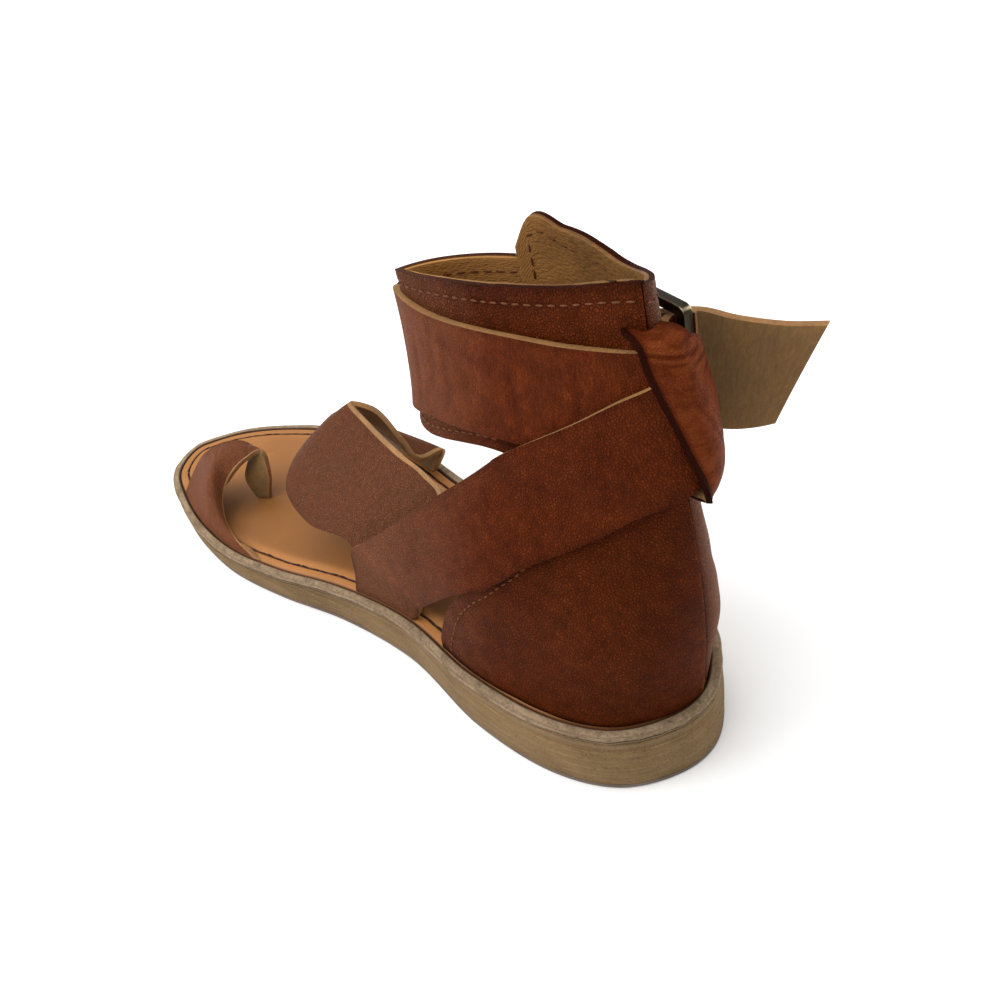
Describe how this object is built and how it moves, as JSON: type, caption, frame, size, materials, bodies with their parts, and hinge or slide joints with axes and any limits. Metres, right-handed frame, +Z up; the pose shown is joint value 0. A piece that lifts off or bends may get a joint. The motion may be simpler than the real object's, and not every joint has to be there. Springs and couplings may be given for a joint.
{
  "type": "strappy leather sandal",
  "caption": "Right-foot flat leather sandal with a toe loop, a broad vamp strap and a tall open-front heel cuff bound by a buckled ankle band and a diagonal wrap strap",
  "frame": {"origin": "on the floor under the middle of the heel, where the sole's flat heel area rests", "axes": "+X points from heel to toe, +Y to the medial side, which is the left side of this right shoe, and +Z up; metres"},
  "size_m": [0.2714, 0.0828, 0.1423],
  "materials": {
    "cognac_leather": "soft pull-up gloss with a fine grain",
    "lined_leather": "soft gloss, darker and redder",
    "insole_leather": "smooth matt tan",
    "stacked_leather": "matt stacked layers",
    "rubber_tread": "matt",
    "welt_leather": "rough matt greyish beige",
    "aged_brass": "dark antique with worn bright edges"
  },
  "bodies": {
    "root": {"outsole": "rubber_tread", "wedge_midsole": "stacked_leather", "welt": "welt_leather", "insole": "insole_leather", "heel_cuff": "lined_leather", "ankle_band": "cognac_leather", "wrap_strap": "cognac_leather", "vamp_strap": "cognac_leather", "toe_loop": "cognac_leather", "keeper_loop": "cognac_leather", "buckle_frame": "aged_brass", "buckle_prong": "aged_brass"}
  },
  "joints": []
}
